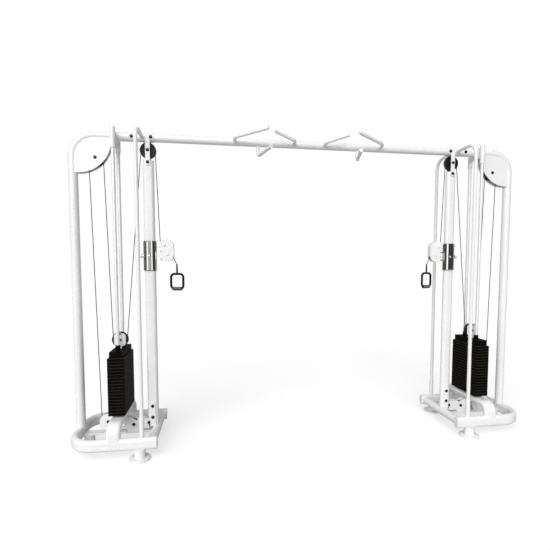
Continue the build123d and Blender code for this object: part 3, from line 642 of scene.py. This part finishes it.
def add_hand_grip(side_name, side):
    """The rubber-coated loop, the ribbed foam grip and its end collars."""
    strap_x = abs(middle(f"handle_strap_{side_name}").x)
    centre = Vector((side * strap_x, 0, (LOOP_BOTTOM + LOOP_TOP) / 2))
    across = Vector((side * cos(HANDLE_TURN), sin(HANDLE_TURN), 0))
    up = Vector((0, 0, 1))
    out = across.cross(up)
    half_h = (LOOP_TOP - LOOP_BOTTOM) / 2
    straight_w, straight_h = LOOP_WIDTH / 2 - LOOP_BEND, half_h - LOOP_BEND
    path, frames = [], []
    corner_parts, side_parts = 10, 8
    corners = ((1, 1), (-1, 1), (-1, -1), (1, -1))
    for corner, (sx, sz) in enumerate(corners):
        for k in range(corner_parts + 1):
            angle = pi / 2 * (corner + k / corner_parts)
            ray = across * cos(angle) + up * sin(angle)
            path.append(centre + across * sx * straight_w + up * sz * straight_h + ray * LOOP_BEND)
            frames.append((ray, out))
        following = corners[(corner + 1) % 4]
        start = path[-1]
        next_angle = pi / 2 * (corner + 1)
        ray = across * cos(next_angle) + up * sin(next_angle)
        end = centre + across * following[0] * straight_w + up * following[1] * straight_h
        end = end + ray * LOOP_BEND
        for k in range(1, side_parts):
            path.append(start.lerp(end, k / side_parts))
            frames.append((ray, out))
    section = rounded_band_section(BAND_WIDTH, BAND_DEPTH, BAND_EDGE)
    band = swept(path, section, frames, loop=True)
    loop = add_piece(f"grip_loop_{side_name}", *band, "black_rubber")
    soften(loop)
    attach(loop, f"handle_{side_name}")
    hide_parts(f"hand_loop_{side_name}")

    grip_centre = centre - up * half_h
    profile = [(-GRIP_LENGTH / 2, GRIP_BORE), (-GRIP_LENGTH / 2, GRIP_RADIUS - GRIP_STEP)]
    for k in range(GRIP_RIBS):
        base = -GRIP_LENGTH / 2 + GRIP_LENGTH * k / GRIP_RIBS
        pitch = GRIP_LENGTH / GRIP_RIBS
        for part, depth in ((0.15, 0.0), (0.7, 0.0), (0.82, RIB_DEPTH), (0.95, RIB_DEPTH)):
            profile.append((base + pitch * part, GRIP_RADIUS - depth))
    profile += [(GRIP_LENGTH / 2, GRIP_RADIUS - GRIP_STEP), (GRIP_LENGTH / 2, GRIP_BORE)]
    foam = lathe(grip_centre, across, profile, 40)
    grip = add_piece(f"grip_foam_{side_name}", *foam, "black_rubber", material=GRIP_FOAM)
    soften(grip, radians(40))
    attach(grip, f"handle_{side_name}")

    collars = []
    profile = rounded(0, 0.0028, COLLAR_RADIUS, 0.0012, 4)
    for end in (-1, 1):
        seat = grip_centre + across * end * (GRIP_LENGTH / 2 - 0.0005)
        collars.append(lathe(seat, across * end, profile, 32))
    rings = add_piece(f"grip_collars_{side_name}", *joined(collars), "black_rubber")
    soften(rings)
    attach(rings, f"handle_{side_name}")


def add_strap(side_name):
    """The webbing neck of a hand grip, and the ball on the cable's end."""
    low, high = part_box(f"handle_strap_{side_name}")
    x, ball_z = (low.x + high.x) / 2, high.z - BALL_DROP
    bottom = LOOP_TOP + 0.004
    section = rounded_band_section(NECK_WIDTH, NECK_GAUGE, NECK_EDGE)
    verts = []
    for k in range(NECK_SPANS + 1):
        point = Vector((x, 0, bottom + (ball_z - 0.004 - bottom) * k / NECK_SPANS))
        scale = 1.0 - 0.22 * (k / NECK_SPANS) ** 3
        verts += [point + Vector((across * scale, depth, 0)) for across, depth in section]
    faces = rings_to_faces(NECK_SPANS + 1, len(section))
    neck = add_piece(f"strap_neck_{side_name}", verts, faces, "webbing")
    soften(neck)
    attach(neck, f"cable_end_{side_name}")
    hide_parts(f"handle_strap_{side_name}")
    angles = [pi * k / 12 for k in range(13)]
    profile = [(-BALL_RADIUS * cos(angle), max(0.0001, BALL_RADIUS * sin(angle))) for angle in angles]
    shape = lathe((x, 0, ball_z), (0, 0, 1), profile, 32)
    ball = add_piece(f"cable_ball_{side_name}", *shape, "black_plastic")
    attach(ball, f"cable_end_{side_name}")


# ---------------------------------------------------------------- bolts, feet and small parts


WASHER = 0.0016  # thickness
SHANK_RADIUS = 0.0059
HEAD_HEIGHT, HEAD_CROWN = 0.0052, 0.0016


def hex_profile_shape(centre, axis, across, height, crown):
    """A hexagon head with a crowned, chamfered top; across is half its width over the corners."""
    turn = Vector(axis).to_track_quat("Z", "Y").to_matrix()
    rings = [
        (0.0, 1.0, 0.0), (height - crown, 1.0, 0.0), (height - crown * 0.25, 0.93, 0.35),
        (height, 0.84, 1.0), (height, 0.0005, 1.0),
    ]
    verts = []
    around = 36
    for along, scale, roundness in rings:
        for k in range(around):
            angle = 2 * pi * k / around
            in_flat = (angle % (pi / 3)) - pi / 6
            hexagon = across / cos(in_flat) * cos(pi / 6)
            radius = scale * (hexagon * (1 - roundness) + across * 0.9 * roundness)
            offset = Vector((radius * cos(angle), radius * sin(angle), along))
            verts.append(Vector(centre) + turn @ offset)
    return verts, rings_to_faces(len(rings), around)


def fastener(x, z, half_grip, radius=0.0105, through=True):
    """Shank, washers, hexagon head in front and nut with a thread end behind."""
    shapes = []
    for face in (-1, 1):
        seat = (x, face * half_grip, z)
        washer = rounded(0, WASHER, radius * 1.22, 0.0006, 3)
        shapes.append(lathe(seat, (0, face, 0), washer, 40))
        top = (x, face * (half_grip + WASHER), z)
        shapes.append(hex_profile_shape(top, (0, face, 0), radius, HEAD_HEIGHT, HEAD_CROWN))
        if face > 0 and through:
            thread_end = rounded(0.004, 0.0072, radius * 0.5, 0.0008, 3)
            shapes.append(lathe(top, (0, face, 0), thread_end, 24))
    if through:
        shank = rounded(0, 2 * half_grip, SHANK_RADIUS, 0.0002, 2)
        shapes.append(lathe((x, -half_grip, z), (0, 1, 0), shank, 24))
    return joined(shapes)


# Half of what each bolt clamps, from the pulleys' plane out to its washer
BEAM_GRIP, STRAP_GRIP, GUSSET_GRIP = 0.0322, 0.0313, 0.026
BASE_GRIP, INNER_GRIP = 0.0252, 0.0254
BEAM_BOLT_X = (1.190, 1.325)
FOOT_BOLT_Z = (0.203, 0.289)
TOP_STRAP_BOLT_Z = 2.119


def add_frame_bolts(side_name, side):
    """The bolts through one tower's frame, and the axle bolts of its fixed pulleys."""
    upright_x = abs(middle(f"top_pulley_{side_name}").x)
    beam_z = middle("cross_beam").z
    places = [(x, beam_z, BEAM_GRIP) for x in BEAM_BOLT_X]
    places += [(upright_x, z, STRAP_GRIP) for z in (*FOOT_BOLT_Z, TOP_STRAP_BOLT_Z)]
    axles = {
        "top_pulley": STRAP_GRIP, "corner_pulley": GUSSET_GRIP, "base_outer_pulley": BASE_GRIP,
        "base_idler_pulley": BASE_GRIP, "base_inner_pulley": INNER_GRIP,
    }
    for node, grip in axles.items():
        centre = middle(f"{node}_{side_name}")
        places.append((abs(centre.x), centre.z, grip))
    shapes = [fastener(side * x, z, grip, through=z not in FOOT_BOLT_Z) for x, z, grip in places]
    bolts = add_piece(f"frame_bolts_{side_name}", *joined(shapes), "black_bolt")
    soften(bolts, radians(28))
    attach(bolts, "frame")
    if side_name == "left":
        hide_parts("frame_bolts")


BEARING_RADIUS, BEARING_GAP = 0.0088, 0.0003


def add_pulley_bearings(side_name):
    """The bright spacers beside each pulley's hub, out to the plates that hold it."""
    bodies = {
        "top_pulley": ("frame", 0.026),
        "corner_pulley": ("frame", 0.020),
        "base_outer_pulley": ("frame", 0.0202),
        "base_idler_pulley": ("frame", 0.0202),
        "stack_pulley": (f"stack_{side_name}", 0.0145),
        "upper_carriage_pulley": (f"swivel_{side_name}", 0.020),
        "lower_carriage_pulley": (f"swivel_{side_name}", 0.020),
    }
    for node, (body, gap) in bodies.items():
        low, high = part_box(f"{node}_{side_name}")
        centre, half_width = (low + high) / 2, (high.y - low.y) / 2
        shapes = []
        for face in (-1, 1):
            seat = (centre.x, face * (half_width + BEARING_GAP), centre.z)
            collar = rounded(0, gap - half_width - BEARING_GAP, BEARING_RADIUS, 0.0003, 2)
            shapes.append(lathe(seat, (0, face, 0), collar, 28))
        spacer = add_piece(f"{node}_spacers_{side_name}", *joined(shapes), "pin_steel")
        soften(spacer)
        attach(spacer, body)


def add_stack_bolts(side_name):
    """Bolt heads on the cage of the stack's pulley: its axle, and a small bolt above."""
    centre = middle(f"stack_pulley_{side_name}")
    face_y = 0.0205
    shapes = []
    for rise, size in ((0.0, 0.0105), (0.044, 0.0070)):
        for face in (-1, 1):
            spot = (centre.x, face * face_y, centre.z + rise)
            shapes.append(lathe(spot, (0, face, 0), rounded(0, WASHER, size * 1.2, 0.0005, 3), 32))
            spot = (centre.x, face * (face_y + WASHER), centre.z + rise)
            shapes.append(hex_profile_shape(spot, (0, face, 0), size + 0.0003, 0.0058, 0.0015))
    bolts = add_piece(f"cage_bolts_{side_name}", *joined(shapes), "black_bolt")
    soften(bolts, radians(28))
    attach(bolts, f"stack_{side_name}")


def add_carriage_trim(side_name, side):
    """The carriage's black liner rims and its front screw."""
    low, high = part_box(f"carriage_sleeve_{side_name}")
    x = side * abs(middle(f"top_pulley_{side_name}").x)
    half_flat, outer_r, inner_r = 0.015, 0.0325, 0.0256
    around = 64
    section = [
        (inner_r, -0.004), (outer_r, -0.004), (outer_r, 0.0012), (outer_r - 0.0012, 0.0024),
        (inner_r + 0.0012, 0.0024), (inner_r, 0.0012),
    ]
    for name, z in (("bottom", low.z + 0.0005), ("top", high.z - 0.0005)):
        rings = []
        face_out = -1 if name == "bottom" else 1
        for radius, height in section:
            for k in range(around):
                angle = 2 * pi * k / around
                shift = half_flat * (1 if cos(angle) >= 0 else -1)
                across = x + shift + radius * cos(angle)
                rings.append(Vector((across, radius * sin(angle), z + face_out * height)))
        faces = rings_to_faces(len(section), around, loop=True)
        rim = add_piece(f"liner_rim_{name}_{side_name}", rings, faces, "black_plastic")
        soften(rim)
        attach(rim, f"carriage_{side_name}")
    front_y, screw_z = -0.0338, (low.z + high.z) / 2
    dome = [
        (0.0, 0.0001), (0.0, 0.0096), (0.0012, 0.0100), (0.0026, 0.0094),
        (0.0038, 0.0078), (0.0046, 0.0052), (0.0050, 0.0024), (0.0050, 0.0001),
    ]
    shape = lathe((x, front_y, screw_z), (0, -1, 0), dome, 40)
    screw = add_piece(f"liner_screw_{side_name}", *shape, "chrome_sleeve")
    soften(screw)
    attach(screw, f"carriage_{side_name}")


# Places of the feet on the right-hand tower, and the top of the inner ones' posts
INNER_FOOT_X, OUTER_FOOT_X = 1.268, 1.684
INNER_POST_TOP = 0.0740


def add_feet():
    """Levelling feet: a broad disc with a rolled rim under a short post."""
    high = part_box("levelling_feet")[1]
    foot_r, post_r = 0.075, 0.0378
    front_y = high.y - foot_r
    places = [(side * INNER_FOOT_X, y) for side in SIDES.values() for y in (-front_y, front_y)]
    places += [(side * OUTER_FOOT_X, 0.0) for side in SIDES.values()]
    shapes = []
    for x, y in places:
        top = high.z if y == 0 else INNER_POST_TOP
        profile = [
            (0.0, 0.0001), (0.0, foot_r - 0.004), (0.0012, foot_r - 0.0012), (0.004, foot_r),
            (0.0075, foot_r), (0.0105, foot_r - 0.0015), (0.0128, foot_r - 0.0045),
            (0.0140, foot_r - 0.009), (0.0143, post_r + 0.005), (0.0155, post_r + 0.0015),
            (0.0180, post_r), (top, post_r), (top, 0.0001),
        ]
        shapes.append(lathe((x, y, 0), (0, 0, 1), profile, 72))
    feet = add_piece("levelling_feet_turned", *joined(shapes), "white_frame")
    soften(feet, radians(50))
    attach(feet, "frame")
    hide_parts("levelling_feet")


# The last corner and the open end of each pull-up handle on the beam's right-hand half
PULL_BAR_ENDS = (
    ((0.585, -0.080, 2.310), (0.341, -0.200, 2.350)),
    ((0.120, -0.080, 2.305), (0.285, -0.140, 2.350)),
    ((0.400, 0.000, 2.200), (0.332, -0.266, 2.200)),
)


def add_bar_caps(side_name, side):
    """Domed plugs in the ends of the pull-up handles."""
    caps = []
    for start, end in PULL_BAR_ENDS:
        start, end = Vector((side * start[0], *start[1:])), Vector((side * end[0], *end[1:]))
        along = (end - start).normalized()
        caps.append(lathe(end - along * 0.004, along, rounded(0, 0.0046, 0.0133, 0.0014, 4), 40))
    ends = add_piece(f"bar_caps_{side_name}", *joined(caps), "white_plastic")
    soften(ends)
    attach(ends, "frame")


def weld_ring(centre, axis, radius, bead=0.0022, around=96):
    """A rippled weld bead round a joint."""
    ripple = 0.0004
    turn = Vector(axis).to_track_quat("Z", "Y").to_matrix()
    path, frames = [], []
    for k in range(around):
        angle = 2 * pi * k / around
        ray = turn @ Vector((cos(angle), sin(angle), 0))
        path.append(Vector(centre) + ray * (radius + ripple * (k % 3)))
        frames.append((ray, turn @ Vector((0, 0, 1))))
    section = [(bead * cos(2 * pi * k / 8), bead * sin(2 * pi * k / 8)) for k in range(8)]
    return swept(path, section, frames, loop=True)


def add_welds(side_name, side):
    """Beads where the guard hoop meets the top tube, and one round the top tube's end."""
    beam_z = middle("cross_beam").z
    hoop_x, seam_x = side * 1.252, side * 1.172
    hoop_weld_y, hoop_weld_r, seam_r = 0.0292, 0.0142, 0.0300
    shapes = [
        weld_ring((hoop_x, face * hoop_weld_y, beam_z), (0, 1, 0), hoop_weld_r) for face in (-1, 1)]
    shapes.append(weld_ring((seam_x, 0, beam_z), (1, 0, 0), seam_r, bead=0.0016))
    beads = add_piece(f"weld_beads_{side_name}", *joined(shapes), "white_frame")
    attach(beads, "frame")


# ---------------------------------------------------------------- the scene

add_camera()
for tower_name, tower_side in SIDES.items():
    add_cables(tower_name, tower_side)
finish_cad_nodes()
for tower_name, tower_side in SIDES.items():
    add_hand_grip(tower_name, tower_side)
    add_strap(tower_name)
    add_frame_bolts(tower_name, tower_side)
    add_pulley_bearings(tower_name)
    add_stack_bolts(tower_name)
    add_carriage_trim(tower_name, tower_side)
    add_bar_caps(tower_name, tower_side)
    add_welds(tower_name, tower_side)
add_feet()
add_world()
add_lights()
add_floor()
